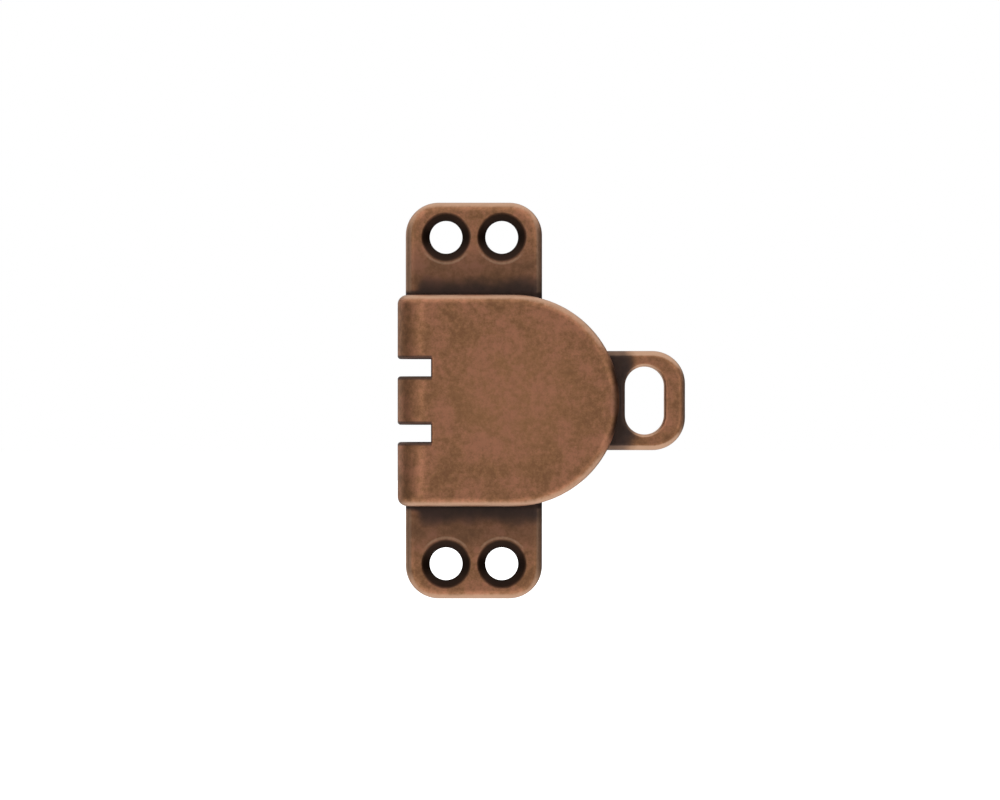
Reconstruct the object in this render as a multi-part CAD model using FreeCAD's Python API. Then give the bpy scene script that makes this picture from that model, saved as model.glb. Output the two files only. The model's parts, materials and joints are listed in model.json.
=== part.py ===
import FreeCAD, Part

import math
import os

# Toggle bolt latch, screwed upright to a door or a cabinet side.
#
# Millimetres. X runs along the bolt's travel, +Z is up along the strap and the front faces -Y.
# The mounting face is the plane y = 0. The origin is on it, in the middle of the four screw holes.
# The bolt is drawn fully out to +X, so that its two prongs are back inside the fold.

# Sheet that the body is pressed from, and how far its edges are rounded
SHEET = 1.5
FRONT_EDGE = 1.2
BACK_EDGE = 0.2

# Strap: the flat back of the body, with the screw holes
STRAP_WIDTH = 17.5
STRAP_HEIGHT = 50.8
STRAP_CORNER = 4.2
HOLE_SPACING_X = 7.15
HOLE_SPACING_Z = 41.9
HOLE_D = 4.2
COUNTERSINK_D = 6.4
COUNTERSINK_ANGLE = 82.0
COUNTERSINK_EDGE = 0.2

# Cover: the front of the body, a flat D folded over from the strap
COVER_HEIGHT = 27.0
COVER_ARC_X = 5.1
FOLD_X = -5.75
FOLD_R = 4.0
DEPTH = 2 * FOLD_R
LANCE_GAP = 0.02

# Windows: two cuts through the fold, where the prongs come out
WINDOW_END_X = -5.45
WINDOW_MID_Z = 4.2
WINDOW_WIDTH = 2.2
WINDOW_EDGE = 0.4

# Bolt: a slotted plate with two prongs
BOLT_THICKNESS = 2.0
BOLT_WIDTH = 12.7
BOLT_END_X = 27.05
BOLT_ROOT_X = 1.4
BOLT_CORNER = 4.2
BOLT_EDGE = 0.9
BOLT_LIFT = 0.1
TRAVEL = 6.5
PRONG_TIP_X = -5.3
PRONG_WIDTH = 2.0
PRONG_EDGE = 0.45
PULL_SLOT_X = 21.85
PULL_SLOT_WIDTH = 5.0
PULL_SLOT_LENGTH = 8.7
PULL_SLOT_EDGE = 0.5
STOP_SLOT_WIDTH = 3.2

# Guide bridge over the bolt, and the rivets that hold it
BRIDGE_SHEET = 1.0
BRIDGE_LEFT_X = 0.6
BRIDGE_LENGTH = 8.0
BRIDGE_FOOT_Z = 12.0
BRIDGE_SIDE_GAP = 0.1
BRIDGE_HEADROOM = 0.8
BRIDGE_BEND = 0.3
RIVET_D = 1.8
RIVET_HEAD_D = 2.8
RIVET_SPACING_X = 3.6
RIVET_Z = 9.9

# Stop post and the friction spring on it
POST_D = 3.0
POST_HEAD_D = 4.4
HEAD_HEIGHT = 0.7
TAIL_FLARE = 0.4
TAIL_DEPTH = 0.5
SPRING_SHEET = 0.3
SPRING_LENGTH = 10.0
SPRING_WIDTH = 6.4
SPRING_GAP = 0.04

OVERSIZE = 40.0
TOLERANCE = 1e-4

STRAP_FRONT_Y = -SHEET
BOLT_BACK_Y = STRAP_FRONT_Y - BOLT_LIFT
BOLT_FRONT_Y = BOLT_BACK_Y - BOLT_THICKNESS
CROWN_BACK_Y = BOLT_FRONT_Y - BRIDGE_HEADROOM
CROWN_FRONT_Y = CROWN_BACK_Y - BRIDGE_SHEET
FOOT_FRONT_Y = STRAP_FRONT_Y - BRIDGE_SHEET
BRIDGE_MID_X = BRIDGE_LEFT_X + BRIDGE_LENGTH / 2

Vector = FreeCAD.Vector
ALONG_Y = Vector(0, 1, 0)


def near(a, b):
    return abs(a - b) < TOLERANCE


def middle(edge):
    return edge.valueAt((edge.FirstParameter + edge.LastParameter) / 2)


def runs_along(edge, axis):
    """True for a straight edge that is parallel to axis."""
    if not isinstance(edge.Curve, Part.Line):
        return False
    return edge.Curve.Direction.cross(axis).Length < TOLERANCE


def rounded(shape, radius, wanted):
    """shape with a fillet on each edge that wanted says yes to."""
    return shape.makeFillet(radius, [edge for edge in shape.Edges if wanted(edge)])


def box(x, y, z):
    """A box between the two values given for each axis."""
    size = [high - low for low, high in (x, y, z)]
    return Part.makeBox(*size, Vector(x[0], y[0], z[0]))


def centred(width):
    return (-width / 2, width / 2)


def pin(diameter, x, z, back_y, front_y):
    """A cylinder along Y at x, z."""
    return Part.makeCylinder(diameter / 2, back_y - front_y, Vector(x, front_y, z), ALONG_Y)


def extruded(edges, direction):
    return Part.Face(Part.Wire(edges)).extrude(direction)


def polyline(points):
    return [Part.LineSegment(a, b).toShape() for a, b in zip(points, points[1:])]


def arc(start, through, end):
    return Part.Arc(start, through, end).toShape()


def folded_block(inset, back_y):
    """What is behind the fold and the cover, inset from their face and as far as back_y."""
    fold_back = Vector(FOLD_X, -inset, 0)
    fold_left = Vector(FOLD_X - FOLD_R + inset, -FOLD_R, 0)
    fold_front = Vector(FOLD_X, inset - DEPTH, 0)
    past_cover = [Vector(OVERSIZE, inset - DEPTH, 0), Vector(OVERSIZE, back_y, 0)]
    closing = [fold_front, *past_cover, Vector(FOLD_X, back_y, 0)]
    if back_y != fold_back.y:
        closing.append(fold_back)
    block = extruded([arc(fold_back, fold_left, fold_front), *polyline(closing)], Vector(0, 0, OVERSIZE))
    block.translate(Vector(0, 0, -OVERSIZE / 2))
    return block


def cover_outline():
    """A block with the D outline of the cover, seen from the front."""
    straight = box((-OVERSIZE, COVER_ARC_X), centred(OVERSIZE), centred(COVER_HEIGHT))
    round_end = pin(COVER_HEIGHT, COVER_ARC_X, 0, OVERSIZE / 2, -OVERSIZE / 2)
    return straight.fuse(round_end).removeSplitter()


def windows():
    """The two cuts, as boxes that run in from the left."""
    cuts = [
        box(
            (-OVERSIZE, WINDOW_END_X),
            centred(OVERSIZE),
            (side * WINDOW_MID_Z - WINDOW_WIDTH / 2, side * WINDOW_MID_Z + WINDOW_WIDTH / 2),
        )
        for side in (-1, 1)
    ]
    return Part.makeCompound(cuts)


def is_cover_rim(edge):
    """True on the D outline of the outer block, in front of its back face."""
    point = middle(edge)
    if point.y > -TOLERANCE or runs_along(edge, ALONG_Y):
        return False
    on_side = near(abs(point.z), COVER_HEIGHT / 2)
    on_arc = near(math.hypot(point.x - COVER_ARC_X, point.z), COVER_HEIGHT / 2)
    return on_side or (on_arc and point.x > COVER_ARC_X)


def is_window_rim(edge):
    """True on the outer edges of the windows, in front of the back face."""
    point = middle(edge)
    if point.y > -TOLERANCE or runs_along(edge, ALONG_Y):
        return False
    from_middle = abs(abs(point.z) - WINDOW_MID_Z)
    on_end = near(point.x, WINDOW_END_X) and from_middle < WINDOW_WIDTH / 2
    on_side = near(from_middle, WINDOW_WIDTH / 2) and point.x < WINDOW_END_X
    return on_end or on_side


def folded_cover():
    """The fold and the cover: a sheet of even thickness with a rounded outer rim."""
    block = folded_block(0, 0).common(cover_outline())
    block = rounded(block, FRONT_EDGE, is_cover_rim)
    block = block.cut(windows())
    block = rounded(block, WINDOW_EDGE, is_window_rim)
    return block.cut(folded_block(SHEET, OVERSIZE))


def screw_hole(x, z):
    """A straight hole with its countersink, as the solid to cut away."""
    hole_r = HOLE_D / 2
    rim_r = COUNTERSINK_D / 2
    depth = (rim_r - hole_r) / math.tan(math.radians(COUNTERSINK_ANGLE / 2))
    cone = Part.makeCone(rim_r, hole_r, depth, Vector(x, STRAP_FRONT_Y, z), ALONG_Y)
    return cone.fuse(pin(HOLE_D, x, z, 0, STRAP_FRONT_Y))


def screw_holes():
    places = [(x, z) for x in centred(HOLE_SPACING_X) for z in centred(HOLE_SPACING_Z)]
    return Part.makeCompound([screw_hole(x, z) for x, z in places])


def is_countersink_rim(edge):
    return isinstance(edge.Curve, Part.Circle) and near(edge.Curve.Radius, COUNTERSINK_D / 2)


def strap():
    """The flat strap, cut free from the ends of the fold by two lances."""
    plate = box(centred(STRAP_WIDTH), (STRAP_FRONT_Y, 0), centred(STRAP_HEIGHT))
    plate = rounded(plate, STRAP_CORNER, lambda edge: runs_along(edge, ALONG_Y))
    plate = rounded(plate, FRONT_EDGE, lambda edge: near(middle(edge).y, STRAP_FRONT_Y))
    plate = rounded(plate, BACK_EDGE, lambda edge: near(middle(edge).y, 0))
    plate = rounded(plate.cut(screw_holes()), COUNTERSINK_EDGE, is_countersink_rim)
    lanced = box((-STRAP_WIDTH, FOLD_X), centred(OVERSIZE), centred(COVER_HEIGHT + 2 * LANCE_GAP))
    return plate.cut(lanced).cut(windows())


def body_plate(riveted):
    """The one-piece stamping: strap, fold and cover, drilled for what is riveted to it."""
    body = strap().fuse(folded_cover())
    for rivet in riveted:
        body = body.cut(rivet)
    return body.removeSplitter()


def long_slot(x, half_x, half_z, diameter):
    """An obround block about the points x +- half_x, +- half_z, as the solid to cut away."""
    ends = [pin(diameter, x + side * half_x, side * half_z, OVERSIZE, -OVERSIZE) for side in (-1, 1)]
    reach_x = half_x if half_x else diameter / 2
    reach_z = half_z if half_z else diameter / 2
    middle_block = box((x - reach_x, x + reach_x), centred(2 * OVERSIZE), (-reach_z, reach_z))
    return ends[0].fuse(ends[1]).fuse(middle_block).removeSplitter()


def prong(z):
    """One prong of the fork, with a rounded tip."""
    sides = (z - PRONG_WIDTH / 2, z + PRONG_WIDTH / 2)
    bar = box((PRONG_TIP_X, BOLT_ROOT_X), (BOLT_FRONT_Y, BOLT_BACK_Y), sides)
    return rounded(bar, PRONG_EDGE, lambda edge: not near(middle(edge).x, BOLT_ROOT_X))


def bolt_plate():
    """The sliding bolt: pull slot in the tab, stop slot behind it, and two prongs."""
    plate = box((BOLT_ROOT_X, BOLT_END_X), (BOLT_FRONT_Y, BOLT_BACK_Y), centred(BOLT_WIDTH))

    def is_tab_corner(edge):
        return runs_along(edge, ALONG_Y) and near(middle(edge).x, BOLT_END_X)

    def is_face_rim(edge, face_y):
        return near(middle(edge).y, face_y) and middle(edge).x > BOLT_ROOT_X + TOLERANCE

    plate = rounded(plate, BOLT_CORNER, is_tab_corner)
    plate = rounded(plate, BOLT_EDGE, lambda edge: is_face_rim(edge, BOLT_FRONT_Y))
    plate = rounded(plate, BACK_EDGE, lambda edge: is_face_rim(edge, BOLT_BACK_Y))

    half_length = (PULL_SLOT_LENGTH - PULL_SLOT_WIDTH) / 2
    plate = plate.cut(long_slot(PULL_SLOT_X, 0, half_length, PULL_SLOT_WIDTH))
    pull_slot_reach = PULL_SLOT_LENGTH / 2 + TOLERANCE

    def is_slot_rim(edge):
        point = middle(edge)
        if not near(point.y, BOLT_FRONT_Y):
            return False
        return math.hypot(point.x - PULL_SLOT_X, point.z) < pull_slot_reach

    plate = rounded(plate, PULL_SLOT_EDGE, is_slot_rim)
    plate = plate.cut(long_slot(BRIDGE_MID_X + TRAVEL / 2, TRAVEL / 2, 0, STOP_SLOT_WIDTH))
    for z in (-WINDOW_MID_Z, WINDOW_MID_Z):
        plate = plate.fuse(prong(z))
    return plate.removeSplitter()


def guide_bridge(riveted):
    """A strip bent over the bolt, with a foot on the strap at each side."""
    wall_in = BOLT_WIDTH / 2 + BRIDGE_SIDE_GAP
    wall_out = wall_in + BRIDGE_SHEET
    half = [
        (BRIDGE_FOOT_Z, STRAP_FRONT_Y),
        (BRIDGE_FOOT_Z, FOOT_FRONT_Y),
        (wall_out, FOOT_FRONT_Y),
        (wall_out, CROWN_FRONT_Y),
    ]
    inside = [(wall_in, CROWN_BACK_Y), (wall_in, STRAP_FRONT_Y)]
    right = [Vector(BRIDGE_LEFT_X, y, z) for z, y in inside + half]
    left = [Vector(BRIDGE_LEFT_X, y, -z) for z, y in reversed(inside + half)]
    strip = extruded(polyline(right + left + right[:1]), Vector(BRIDGE_LENGTH, 0, 0))

    def is_bend(edge, z, y):
        point = middle(edge)
        return runs_along(edge, Vector(1, 0, 0)) and near(abs(point.z), z) and near(point.y, y)

    outer_bend = BRIDGE_BEND + BRIDGE_SHEET
    strip = rounded(strip, BRIDGE_BEND, lambda edge: is_bend(edge, wall_in, CROWN_BACK_Y))
    strip = rounded(strip, BRIDGE_BEND, lambda edge: is_bend(edge, wall_out, FOOT_FRONT_Y))
    strip = rounded(strip, outer_bend, lambda edge: is_bend(edge, wall_out, CROWN_FRONT_Y))
    strip = rounded(strip, outer_bend, lambda edge: is_bend(edge, wall_in, STRAP_FRONT_Y))
    for rivet in riveted:
        strip = strip.cut(rivet)
    return strip


def headed_pin(diameter, head_d, seat_y, x, z):
    """A rivet: tail flush in the strap's back, shank, and a domed head that sits on seat_y."""
    shank_r = diameter / 2
    head_r = head_d / 2
    dome_r = (head_r**2 + HEAD_HEIGHT**2) / (2 * HEAD_HEIGHT)
    half_turn = math.asin(head_r / dome_r) / 2
    crown_y = seat_y - HEAD_HEIGHT
    on_dome = Vector(dome_r * math.sin(half_turn), crown_y + dome_r * (1 - math.cos(half_turn)), 0)
    outline = [
        Vector(0, crown_y, 0),
        Vector(0, 0, 0),
        Vector(shank_r + TAIL_FLARE, 0, 0),
        Vector(shank_r, -TAIL_DEPTH, 0),
        Vector(shank_r, seat_y, 0),
        Vector(head_r, seat_y, 0),
    ]
    edges = polyline(outline) + [arc(outline[-1], on_dome, outline[0])]
    solid = Part.Face(Part.Wire(edges)).revolve(Vector(0, 0, 0), ALONG_Y, 360)
    solid.translate(Vector(x, 0, z))
    return solid


def stop_post():
    """The pin that ties strap and bridge together and stops the bolt at both ends of its slot."""
    return headed_pin(POST_D, POST_HEAD_D, CROWN_FRONT_Y, BRIDGE_MID_X, 0)


def bridge_rivets():
    """The four rivets through the bridge's feet, by name."""
    rivets = {}
    for end, z in (("lower", -RIVET_Z), ("upper", RIVET_Z)):
        for side, offset in zip(("left", "right"), centred(RIVET_SPACING_X)):
            name = f"bridge_rivet_{end}_{side}"
            rivets[name] = headed_pin(RIVET_D, RIVET_HEAD_D, FOOT_FRONT_Y, BRIDGE_MID_X + offset, z)
    return rivets


def friction_spring():
    """A bowed strip on the post: its middle is under the bridge and its ends bear on the bolt."""
    reach = SPRING_LENGTH / 2
    left_x = BRIDGE_MID_X - SPRING_WIDTH / 2
    top_y = CROWN_BACK_Y + SPRING_GAP
    end_y = BOLT_FRONT_Y - SPRING_GAP
    front = [Vector(left_x, end_y - SPRING_SHEET, -reach), Vector(left_x, end_y - SPRING_SHEET, reach)]
    back = [Vector(left_x, end_y, reach), Vector(left_x, end_y, -reach)]
    edges = [
        arc(front[0], Vector(left_x, top_y, 0), front[1]),
        *polyline([front[1], back[0]]),
        arc(back[0], Vector(left_x, top_y + SPRING_SHEET, 0), back[1]),
        *polyline([back[1], front[0]]),
    ]
    strip = extruded(edges, Vector(SPRING_WIDTH, 0, 0))
    return strip.cut(pin(STOP_SLOT_WIDTH, BRIDGE_MID_X, 0, 0, -DEPTH))


def main():
    post = stop_post()
    rivets = bridge_rivets()
    riveted = [post, *rivets.values()]
    nodes = {
        "body_plate": body_plate(riveted),
        "bolt_plate": bolt_plate(),
        "guide_bridge": guide_bridge(riveted),
        "friction_spring": friction_spring(),
        "stop_post": post,
        **rivets,
    }
    os.makedirs("parts", exist_ok=True)
    for name, shape in nodes.items():
        solid = shape.Solids[0]
        print(f"{name}: valid {shape.isValid()}, solids {len(shape.Solids)}, {solid.Volume:.2f} mm3")
        solid.exportStep(f"parts/{name}.step")


main()
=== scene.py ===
import json
import math

import bpy
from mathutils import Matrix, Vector


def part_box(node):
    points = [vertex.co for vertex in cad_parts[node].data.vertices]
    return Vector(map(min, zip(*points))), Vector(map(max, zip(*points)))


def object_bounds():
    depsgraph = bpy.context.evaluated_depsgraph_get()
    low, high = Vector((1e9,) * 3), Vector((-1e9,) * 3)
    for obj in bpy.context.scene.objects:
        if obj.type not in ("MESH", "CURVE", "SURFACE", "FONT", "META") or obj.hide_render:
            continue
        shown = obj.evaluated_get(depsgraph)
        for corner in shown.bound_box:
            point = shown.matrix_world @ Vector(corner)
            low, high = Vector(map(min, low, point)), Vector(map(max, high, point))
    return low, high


# Toggle bolt latch: the looks around the CAD frame.
#
# Every piece keeps its CAD mesh. The antique copper is one recipe with masks that are worked out
# from the place on the surface in millimetres, so they stay put on the bolt when it slides.

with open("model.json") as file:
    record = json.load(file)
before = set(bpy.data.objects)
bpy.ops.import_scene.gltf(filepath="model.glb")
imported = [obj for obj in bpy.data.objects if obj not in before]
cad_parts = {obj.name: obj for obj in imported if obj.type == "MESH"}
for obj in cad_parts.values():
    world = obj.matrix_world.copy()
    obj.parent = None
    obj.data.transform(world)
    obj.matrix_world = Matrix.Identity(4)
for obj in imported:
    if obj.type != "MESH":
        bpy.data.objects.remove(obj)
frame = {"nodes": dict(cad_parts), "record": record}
cad_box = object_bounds()

MM = 0.001

# Places on the latch, in millimetres. The box and the hole pattern come from the frame.
body_low, body_high = [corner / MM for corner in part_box("body_plate")]
hole_dims = next(m for m in frame["record"]["mounts"] if m["name"] == "screw_holes")["dims"]

# Screw holes, mirrored in X and in Z
HOLE_X = hole_dims["spacing_x_mm"] / 2
HOLE_Z = hole_dims["spacing_y_mm"] / 2
HOLE_R = hole_dims["hole_r_mm"]
COUNTERSINK_R = 3.2

# Sheet: its thickness, the rounding of its front edges and the strap's left edge
SHEET = 1.5
EDGE_R = 1.2
STRAP_LEFT = -8.75

# Cover: half its height, which is also the radius of its round end, and that arc's centre
COVER_HALF = 13.5
COVER_ARC_X = body_high.x - COVER_HALF
COVER_FRONT_Y = body_low.y

# Fold: the outer radius and the centre in X
FOLD_R = -body_low.y / 2
FOLD_X = body_low.x + FOLD_R

# Windows in the fold: the middle and the half height in Z, and the right-hand end
WINDOW_Z = 4.2
WINDOW_HALF = 1.1
WINDOW_END = -5.45


# ---------------------------------------------------------------- node graphs


class Field:
    """A number that varies over the surface. Sums and products of fields add Math nodes."""

    def __init__(self, graph, socket):
        self.graph = graph
        self.socket = socket

    def __add__(self, other):
        return self.graph.math("ADD", self, other)

    def __sub__(self, other):
        return self.graph.math("SUBTRACT", self, other)

    def __rsub__(self, other):
        return self.graph.math("SUBTRACT", other, self)

    def __mul__(self, other):
        return self.graph.math("MULTIPLY", self, other)

    def __truediv__(self, other):
        return self.graph.math("DIVIDE", self, other)

    __radd__ = __add__
    __rmul__ = __mul__

    def __abs__(self):
        return self.graph.math("ABSOLUTE", self)


class Graph:
    """The node tree of one material, built by small calls that return fields and sockets."""

    def __init__(self, name):
        self.material = bpy.data.materials.new(name)
        self.material.use_nodes = True
        self.tree = self.material.node_tree
        self.tree.nodes.clear()
        self.shader = self.tree.nodes.new("ShaderNodeBsdfPrincipled")
        output = self.tree.nodes.new("ShaderNodeOutputMaterial")
        self.tree.links.new(self.shader.outputs["BSDF"], output.inputs["Surface"])
        place = self.tree.nodes.new("ShaderNodeTexCoord")
        scaled = self.tree.nodes.new("ShaderNodeVectorMath")
        scaled.operation = "SCALE"
        scaled.inputs["Scale"].default_value = 1 / MM
        self.tree.links.new(place.outputs["Object"], scaled.inputs[0])
        self.place = scaled.outputs["Vector"]
        self.x, self.y, self.z = self.split(self.place)
        self.facing_x, self.facing_y, self.facing_z = self.split(place.outputs["Normal"])

    def put(self, value, socket):
        """Links a field or a socket, or sets a plain number or colour."""
        if isinstance(value, Field):
            self.tree.links.new(value.socket, socket)
        elif isinstance(value, bpy.types.NodeSocket):
            self.tree.links.new(value, socket)
        else:
            socket.default_value = value

    def split(self, vector):
        node = self.tree.nodes.new("ShaderNodeSeparateXYZ")
        self.tree.links.new(vector, node.inputs[0])
        return [Field(self, socket) for socket in node.outputs]

    def math(self, operation, *values):
        node = self.tree.nodes.new("ShaderNodeMath")
        node.operation = operation
        for value, socket in zip(values, node.inputs):
            self.put(value, socket)
        return Field(self, node.outputs[0])

    def length(self, a, b):
        """The length of the side across from the right angle between a and b."""
        return self.math("SQRT", a * a + b * b)

    def largest(self, first, *others):
        for other in others:
            first = self.math("MAXIMUM", first, other)
        return first

    def rise(self, value, start, end):
        """0 up to start, 1 from end on, and smooth between them."""
        node = self.tree.nodes.new("ShaderNodeMapRange")
        node.interpolation_type = "SMOOTHSTEP"
        self.put(value, node.inputs["Value"])
        node.inputs["From Min"].default_value = start
        node.inputs["From Max"].default_value = end
        return Field(self, node.outputs["Result"])

    def fall(self, value, start, end):
        """1 up to start, 0 from end on, and smooth between them."""
        return 1 - self.rise(value, start, end)

    def noise(self, size, detail=2.0, roughness=0.5, stretch=(1, 1, 1)):
        """Noise with features about size millimetres across, from 0 to 1 around 0.5."""
        scaled = self.tree.nodes.new("ShaderNodeVectorMath")
        scaled.operation = "MULTIPLY"
        self.put(self.place, scaled.inputs[0])
        scaled.inputs[1].default_value = [1 / (size * k) for k in stretch]
        node = self.tree.nodes.new("ShaderNodeTexNoise")
        node.inputs["Scale"].default_value = 1.0
        node.inputs["Detail"].default_value = detail
        node.inputs["Roughness"].default_value = roughness
        self.tree.links.new(scaled.outputs[0], node.inputs["Vector"])
        return Field(self, node.outputs[0])

    def blend(self, amount, a, b):
        """Colour a where amount is 0 and colour b where it is 1."""
        node = self.tree.nodes.new("ShaderNodeMix")
        node.data_type = "RGBA"
        self.put(amount, node.inputs[0])
        self.put(a, node.inputs[6])
        self.put(b, node.inputs[7])
        return node.outputs[2]

    def bump(self, height, depth):
        """Relief of depth millimetres from a field between 0 and 1."""
        node = self.tree.nodes.new("ShaderNodeBump")
        node.inputs["Strength"].default_value = 1.0
        node.inputs["Distance"].default_value = depth * MM
        self.put(height, node.inputs["Height"])
        self.tree.links.new(node.outputs["Normal"], self.shader.inputs["Normal"])


# ---------------------------------------------------------------- materials

RED_COPPER = (0.615, 0.272, 0.158, 1)
BROWN_COPPER = (0.57, 0.282, 0.132, 1)
DARK_COPPER = (0.25, 0.117, 0.062, 1)
# The next three colours: rubbed copper, also painted as highlight; grey-brown patina and black-brown
# oxide, both also painted as shade
WORN_AND_HIGHLIGHT = (0.68, 0.42, 0.28, 1)
PATINA_AND_SHADE = (0.070, 0.052, 0.048, 1)
OXIDE_AND_SHADE = (0.030, 0.014, 0.008, 1)
BLUE_STEEL = (0.16, 0.17, 0.19, 1)
GREY_STEEL = (0.34, 0.33, 0.33, 1)
WHITE = (1, 1, 1, 1)
FLOOR_PAINT = (0.86, 0.86, 0.86, 1)
PALE_FLOOR_PAINT = (0.90, 0.90, 0.90, 1)


def antique_copper(graph, darkening, wear_and_highlight, soot_and_shade=0.0, polish=0.0):
    """Mottled brown copper plate. Each mask goes from 0 to 1. The first is grey-brown patina, and
    painted shade where a caller passes it. The second is rubbed bright copper and painted highlight.
    The third is black-brown oxide and painted shade. Polish thins the mottling."""
    grain = graph.noise(0.22, detail=3.0, roughness=0.7)
    speckle = graph.noise(0.8, detail=4.0, roughness=0.65)
    cloud = graph.noise(3.6, detail=3.0, roughness=0.6)
    tint = graph.rise(cloud * 0.7 + speckle * 0.3, 0.36, 0.64)
    mottle = graph.rise(grain * 0.2 + speckle * 0.4 + cloud * 0.4, 0.36, 0.62)
    colour = graph.blend(tint, BROWN_COPPER, RED_COPPER)
    colour = graph.blend((1 - mottle) * (0.80 - polish * 0.30), colour, DARK_COPPER)

    ragged = speckle * 0.6 + grain * 0.4 - 0.5
    dark = graph.rise(darkening + ragged * darkening * (1 - darkening), 0.0, 1.0)
    bright = graph.rise(wear_and_highlight + ragged * 0.7, 0.25, 1.1)
    # Patina and painted shade, then rubbed copper and painted highlight, then oxide and painted shade
    colour = graph.blend(dark * 0.93, colour, PATINA_AND_SHADE)
    colour = graph.blend(bright * (1 - dark * 0.7), colour, WORN_AND_HIGHLIGHT)
    colour = graph.blend(soot_and_shade, colour, OXIDE_AND_SHADE)

    shader = graph.shader
    graph.put(colour, shader.inputs["Base Color"])
    shader.inputs["Metallic"].default_value = 1.0
    roughness = 0.46 + (0.5 - cloud) * 0.14 + dark * 0.10 - bright * 0.04
    graph.put(roughness, shader.inputs["Roughness"])
    graph.bump(grain * 0.6 + speckle * 0.4, 0.010)
    return graph.material


class BodyPlate(Graph):
    """The folded plate, with its dirt, rubbed edges, painted shade and painted highlight as masks from
    0 to 1.
    """

    def __init__(self, name):
        super().__init__(name)
        self.from_cover = abs(self.z) - COVER_HALF
        self.at_strap = self.rise(self.y, -SHEET - 0.6, -SHEET - 0.2)
        self.on_strap = self.at_strap * self.fall(self.facing_y, -0.2, 0.4)
        self.at_cover = self.fall(self.y, COVER_FRONT_Y + 1.0, COVER_FRONT_Y + 2.0)
        self.from_arc = self.length(self.x - COVER_ARC_X, self.z)
        self.at_arc = self.at_cover * self.rise(self.x, COVER_ARC_X, COVER_ARC_X + 2)
        self.onto_edge = (self.from_arc - COVER_HALF) / EDGE_R + 1
        self.from_hole = self.length(abs(self.x) - HOLE_X, abs(self.z) - HOLE_Z)
        in_cone = self.fall(self.from_hole, COUNTERSINK_R - 0.35, COUNTERSINK_R + 0.15)
        self.countersink = in_cone * self.on_strap
        from_window = abs(abs(self.z) - WINDOW_Z) - WINDOW_HALF
        beside_window = self.fall(from_window, 0.25, 0.65)
        self.in_window = beside_window * self.fall(self.x, WINDOW_END, WINDOW_END + 0.3)

    def strap_patina_and_shade(self):
        """A dark band on the strap beside the cover, partly patina and partly painted shade cast by the
        cover.
        It is left off near the strap's left edge as painted light, and a fainter darkening fades out
        further from the cover.
        """
        uneven = (self.noise(2.6, detail=2.0) - 0.5) * 1.8
        past_gap = self.rise(self.from_cover, 0.2, 0.9)
        # The band is left off near the strap's left edge: painted light, where the light from the left
        # reaches
        left_strip = self.fall(self.x - STRAP_LEFT, 1.0, 2.4) * past_gap * 0.6
        # The band: patina and painted shade cast by the cover
        band = self.fall(self.from_cover + uneven, 0.1, 4.8) * self.on_strap * (1 - left_strip)
        # A fainter darkening that fades out further from the cover
        far_darkening = self.fall(self.from_cover, 3.5, 9.0) * self.on_strap * 0.42
        return self.largest(band, far_darkening)

    def inside_patina(self):
        """The hollow of the fold and the back of the cover."""
        from_fold = self.length(self.x - FOLD_X, self.y + FOLD_R)
        hollow = self.fall(from_fold, FOLD_R - SHEET + 0.05, FOLD_R - SHEET + 0.4)
        hollow = hollow * self.fall(self.from_cover, -0.3, 0.0)
        under_cover = self.rise(self.facing_y, -0.2, 0.3) * self.fall(self.y, -3.0, -2.0)
        return self.largest(hollow, under_cover * 0.85)

    def darkening(self):
        """The strap's band of patina and painted shade, the insides, the windows' walls and painted
        shade on the rim at the tip of the arc.
        """
        # Painted shade on the rim at the tip of the arc
        tip_shade = self.rise(self.onto_edge, -0.3, 0.3) * self.fall(abs(self.z), 1.0, 3.0)
        tip_shade = tip_shade * self.at_arc * 0.4
        return self.largest(self.strap_patina_and_shade(), self.inside_patina(), self.in_window * 0.8, tip_shade)

    def wear_and_highlight(self):
        """Rubbed edges and painted highlight: the rounded rims, the strap's outer corners, and a
        painted highlight on the countersinks' rims on the side towards the middle.
        """
        past_cover = self.at_strap * self.rise(self.from_cover, 0.0, 0.5)
        # Rims facing up or down: rubbed copper and painted highlight from the light above and below
        ends = self.rise(abs(self.facing_z), 0.15, 0.85)
        # Rims facing the sides, on the strap and round the arc: rubbed copper and painted highlight
        strap_sides = self.rise(abs(self.facing_x), 0.1, 0.6) * past_cover * 0.8
        arc_sides = self.rise(self.onto_edge, 0.0, 0.8) * self.at_arc
        arc_sides = arc_sides * self.rise(abs(self.z), 4.5, 8.0) * 0.85
        rim = self.largest(ends, strap_sides, arc_sides) * (1 - self.in_window)
        # Lighter towards the strap's outer corners
        corner = self.rise(abs(self.x) + abs(self.z), 27.0, 31.5) * 0.35
        # Painted highlight on the countersinks' rims, on the side towards the middle
        hole_rim_highlight = self.fall(abs(self.from_hole - COUNTERSINK_R - 0.15), 0.05, 0.35)
        hole_rim_highlight = hole_rim_highlight * self.rise(HOLE_Z - abs(self.z), 0.5, 3.0) * 0.75
        off_back = self.fall(self.y, -0.3, -0.1)
        return self.largest(rim, corner, hole_rim_highlight) * (1 - self.countersink) * off_back

    def soot_and_shade(self):
        """Oxide in the countersinks, a painted shadow on the strap along the cover's edge, and painted
        shade on the steep rim at the tip of the arc.
        """
        near_hole = self.fall(self.from_hole, HOLE_R, COUNTERSINK_R) * self.on_strap
        sunk = self.countersink * 0.92 + near_hole * 0.08
        # Painted shadow on the strap along the cover's edge
        cover_edge_shadow = self.fall(self.from_cover, 0.1, 0.6) * self.on_strap * 0.35
        # Painted shade on the steep rim at the tip of the arc
        steep = self.rise(self.onto_edge, 0.36, 0.92) * self.at_arc
        steep_rim_shade = steep * (self.rise(abs(self.z), 0.5, 2.5) * 0.5 + 0.45)
        return self.largest(sunk, cover_edge_shadow, steep_rim_shade * self.fall(abs(self.z), 3.6, 5.8))

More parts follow.
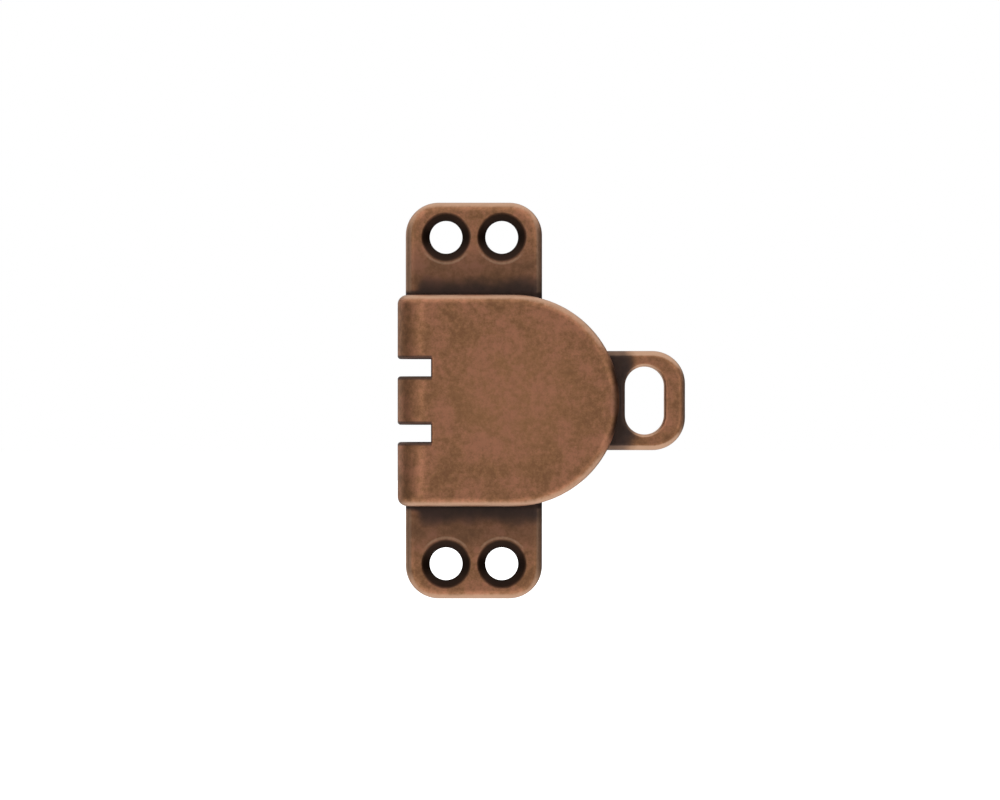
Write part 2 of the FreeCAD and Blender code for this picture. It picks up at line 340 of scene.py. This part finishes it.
    def polish(self):
        """The middle of the cover's front, which is less mottled."""
        return self.fall(self.from_arc, 2.0, 13.0) * self.at_cover


def body_material():
    plate = BodyPlate("copper_body")
    return antique_copper(plate, plate.darkening(), plate.wear_and_highlight(), plate.soot_and_shade(), plate.polish())


def bolt_material():
    """Patina where the drawn bolt lies under the cover, patina and painted shade just past it, a
    painted shadow along the cover's edge, and rubbed edges with painted highlight at the tab's rim.
    """
    graph = Graph("copper_bolt")
    uneven = (graph.noise(1.6) - 0.5) * 1.2
    from_cover = graph.length(graph.x - COVER_ARC_X, graph.z) - COVER_HALF + uneven
    # Patina under the cover, and painted shade just past its edge
    sheltered = graph.fall(from_cover, 1.4, 3.8) * graph.fall(graph.facing_y, -0.2, 0.4)
    # The tab's rims: rubbed copper and painted highlight
    sides = graph.rise(abs(graph.facing_x), 0.3, 0.8) * 0.8
    rim = graph.largest(graph.rise(abs(graph.facing_z), 0.1, 0.5), sides)
    # Painted shadow on the tab along the cover's edge
    soot_and_shade = graph.fall(from_cover, 0.0, 1.6) * 0.2
    return antique_copper(graph, sheltered, rim, soot_and_shade)


def inner_material(name):
    """For what sits under the cover: the same plate, dark with patina all over."""
    graph = Graph(name)
    darkening = graph.noise(2.5) * 0.5 + 0.45
    # Faces turned up or down lighter: rubbed copper and painted highlight
    wear_and_highlight = graph.rise(abs(graph.facing_z), 0.6, 0.95) * 0.6
    return antique_copper(graph, darkening, wear_and_highlight)


def spring_material():
    """Blue-grey hardened strip with fine lines along its length."""
    graph = Graph("spring_steel")
    lines = graph.noise(0.12, detail=2.0, stretch=(1, 1, 30))
    cloud = graph.noise(1.6)
    colour = graph.blend(cloud, BLUE_STEEL, GREY_STEEL)
    graph.put(colour, graph.shader.inputs["Base Color"])
    graph.shader.inputs["Metallic"].default_value = 1.0
    graph.put(0.30 + lines * 0.15, graph.shader.inputs["Roughness"])
    graph.bump(lines, 0.004)
    return graph.material


def dress(node, material):
    mesh = frame["nodes"][node].data
    mesh.materials.clear()
    mesh.materials.append(material)


dress("body_plate", body_material())
dress("bolt_plate", bolt_material())
dress("guide_bridge", inner_material("copper_bridge"))
dress("friction_spring", spring_material())
rivet_material = inner_material("rivet_steel")
for name in frame["nodes"]:
    if name == "stop_post" or name.startswith("bridge_rivet"):
        dress(name, rivet_material)


# ---------------------------------------------------------------- floor, light and camera

FLOOR_SIZE = 6.0
AMBIENT = 0.05

# The camera looks squarely at the strap's front face and takes in VIEW_WIDTH metres there
VIEW_WIDTH = 0.12825
VIEW_CENTRE = Vector((0.00335, -SHEET * MM, 0.00007))
SENSOR = 36.0
LENS = 300.0


def plane(name, size, location):
    half = size / 2
    mesh = bpy.data.meshes.new(name)
    corners = [(-half, -half, 0), (half, -half, 0), (half, half, 0), (-half, half, 0)]
    mesh.from_pydata(corners, [], [(0, 1, 2, 3)])
    thing = bpy.data.objects.new(name, mesh)
    thing.location = location
    bpy.context.scene.collection.objects.link(thing)
    return thing


def floor_material():
    graph = Graph("floor_paint")
    colour = graph.blend(graph.noise(40.0), FLOOR_PAINT, PALE_FLOOR_PAINT)
    graph.put(colour, graph.shader.inputs["Base Color"])
    graph.shader.inputs["Roughness"].default_value = 0.9
    graph.shader.inputs["Emission Color"].default_value = WHITE
    graph.shader.inputs["Emission Strength"].default_value = 1.0
    return graph.material


def soft_light(name, location, size, radiance, aim=(0, 0, 0)):
    """A rectangular soft box of even radiance, facing the point aim. Lengths are in metres."""
    light = bpy.data.lights.new(name, "AREA")
    light.shape = "RECTANGLE"
    light.size, light.size_y = size
    light.energy = radiance * math.pi * size[0] * size[1]
    thing = bpy.data.objects.new(name, light)
    thing.location = location
    thing.rotation_euler = (Vector(aim) - Vector(location)).to_track_quat("-Z", "Y").to_euler()
    thing.visible_camera = False
    bpy.context.scene.collection.objects.link(thing)


def studio_world(ambient):
    """White behind the object for the camera, and an even dim fill for everything else."""
    world = bpy.data.worlds.new("studio")
    world.use_nodes = True
    tree = world.node_tree
    tree.nodes.clear()
    seen = tree.nodes.new("ShaderNodeBackground")
    fill = tree.nodes.new("ShaderNodeBackground")
    seen.inputs["Color"].default_value = WHITE
    fill.inputs["Color"].default_value = WHITE
    fill.inputs["Strength"].default_value = ambient
    path = tree.nodes.new("ShaderNodeLightPath")
    mix = tree.nodes.new("ShaderNodeMixShader")
    output = tree.nodes.new("ShaderNodeOutputWorld")
    tree.links.new(path.outputs["Is Camera Ray"], mix.inputs[0])
    tree.links.new(fill.outputs[0], mix.inputs[1])
    tree.links.new(seen.outputs[0], mix.inputs[2])
    tree.links.new(mix.outputs[0], output.inputs["Surface"])
    bpy.context.scene.world = world


def front_camera():
    camera = bpy.data.cameras.new("camera")
    camera.sensor_width = SENSOR
    camera.lens = LENS
    camera.dof.use_dof = False
    thing = bpy.data.objects.new("camera", camera)
    distance = VIEW_WIDTH * LENS / SENSOR
    thing.location = VIEW_CENTRE + Vector((0, -distance, 0))
    thing.rotation_euler = (math.radians(90), 0, 0)
    camera.clip_start = 0.01
    bpy.context.scene.collection.objects.link(thing)
    bpy.context.scene.camera = thing


floor = plane("floor", FLOOR_SIZE, (0, 0, cad_box[0].z))
floor.data.materials.append(floor_material())
floor.visible_glossy = False
floor.visible_shadow = False

# Wide boxes above and below, strips beside the camera, and dimmer boxes at the front, sides and back
for side in (-1, 1):
    soft_light("wide_box", (0, -0.25, side * 0.50), (2.40, 2.00), 0.80, aim=(0, -0.25, 0))
    soft_light("strip", (side * 0.58, -1.10, 0), (0.36, 0.80), 1.25)
soft_light("front_box", (0, -1.50, 0), (0.80, 0.80), 0.14)
soft_light("left_box", (-1.00, -0.60, 0), (0.60, 0.80), 0.18)
soft_light("right_box", (1.00, -0.80, 0), (0.50, 0.80), 0.22)
soft_light("left_side_box", (-1.20, 0, 0), (0.80, 0.80), 0.03)
soft_light("left_back_box", (-0.80, 0.75, 0), (0.80, 0.80), 0.55)
soft_light("back_box", (0, 1.50, 0.30), (0.90, 0.90), 0.50)
studio_world(AMBIENT)
front_camera()

scene = bpy.context.scene
scene.view_settings.view_transform = "Standard"
scene.view_settings.look = "None"
